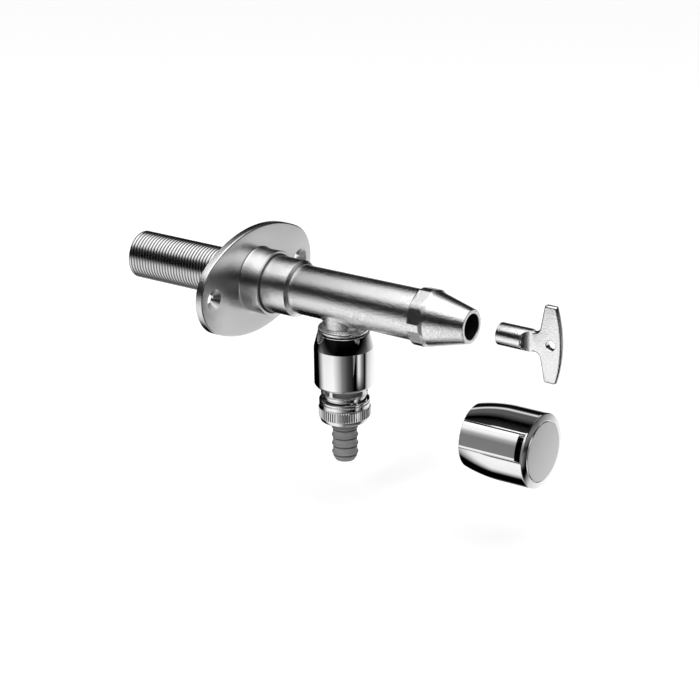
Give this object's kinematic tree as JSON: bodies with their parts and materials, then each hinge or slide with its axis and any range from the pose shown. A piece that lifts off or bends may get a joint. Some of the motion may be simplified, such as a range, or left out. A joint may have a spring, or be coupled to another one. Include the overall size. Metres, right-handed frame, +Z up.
{
  "type": "frost free sillcock",
  "caption": "Wall-mounted frost free tap with oval flange, ridged wall tube, cone nose for a key, vacuum breaker, hose union, loose T key and loose fluted knob.",
  "frame": {"origin": "on the tube axis at the wall plane, which is the back face of the flange, midway between the two wall screws", "axes": "-Y out from the wall along the tap, +Z up, +X to the right seen from in front"},
  "size_m": [0.112, 0.3027, 0.1365],
  "materials": {
    "satin_nickel": "satin",
    "seal_rubber": "matte",
    "bright_tube": "polished ridges",
    "raw_brass": "turned",
    "stem_brass": "turned",
    "guide_plastic": "matte",
    "blasted_chrome": "bead blasted",
    "nose_chrome": "bead blasted, milled flats",
    "sleeve_chrome": "polished",
    "breaker_chrome": "polished",
    "vent_plastic": "matte",
    "union_chrome": "polished with knurl",
    "tail_plastic": "matte",
    "key_metal": "blasted",
    "knob_chrome": "polished",
    "disc_metal": "satin"
  },
  "bodies": {
    "tap": {"wall_flange": "satin_nickel", "collar_seal": "seal_rubber", "wall_tube": "bright_tube", "inlet_body": "raw_brass", "inlet_seal": "seal_rubber", "stem_guide": "guide_plastic", "outlet_body": "blasted_chrome", "bonnet_nose": "nose_chrome", "bonnet_seal": "seal_rubber", "breaker_sleeve": "sleeve_chrome", "breaker_body": "breaker_chrome", "breaker_core": "vent_plastic", "branch_seal": "seal_rubber"},
    "valve_disc": {"valve_cup": "raw_brass", "valve_washer": "seal_rubber", "washer_screw": "raw_brass"},
    "stem": {"stem": "stem_brass", "stem_seals": "seal_rubber"},
    "key": {"key": "key_metal"},
    "knob": {"knob_shell": "knob_chrome", "knob_disc": "disc_metal", "knob_insert": "raw_brass"},
    "hose_tail": {"hose_tail": "tail_plastic", "union_washer": "seal_rubber"},
    "union_nut": {"union_nut": "union_chrome"},
    "check_poppet": {"check_poppet": "guide_plastic", "poppet_seal": "seal_rubber"},
    "vent_ring": {"vent_ring": "seal_rubber"}
  },
  "joints": [
    {"name": "stem_lift", "type": "slide", "parent": "tap", "child": "valve_disc", "axis": [0, -1, 0], "range_m": [0, 0.005]},
    {"name": "stem_turn", "type": "hinge", "parent": "valve_disc", "child": "stem", "pos_m": [0, 0, 0], "axis": [0, -1, 0], "range_deg": [0, 900]},
    {"name": "key_insert", "type": "slide", "parent": "stem", "child": "key", "axis": [0, 1, 0], "range_m": [0, 0.0345]},
    {"name": "knob_away", "type": "slide", "parent": "tap", "child": "knob", "axis": [0, -1, 0], "range_m": [0, 0.03]},
    {"name": "union_drop", "type": "slide", "parent": "tap", "child": "hose_tail", "axis": [0, 0, -1], "range_m": [0, 0.00545]},
    {"name": "union_turn", "type": "hinge", "parent": "hose_tail", "child": "union_nut", "pos_m": [0, -0.0676, -0.07], "axis": [0, 0, -1], "range_deg": [0, 1080]},
    {"name": "check_open", "type": "slide", "parent": "tap", "child": "check_poppet", "axis": [0, 0, -1], "range_m": [0, 0.004], "stiffness_N_per_m": 100, "springref_m": -0.002},
    {"name": "vent_open", "type": "slide", "parent": "tap", "child": "vent_ring", "axis": [0, 0, 1], "range_m": [0, 0.0015]}
  ],
  "couplings": [
    {"joint": "stem_turn", "follows": "stem_lift", "rad_per_m": 3141.6},
    {"joint": "union_turn", "follows": "union_drop", "rad_per_m": 3458.6}
  ]
}
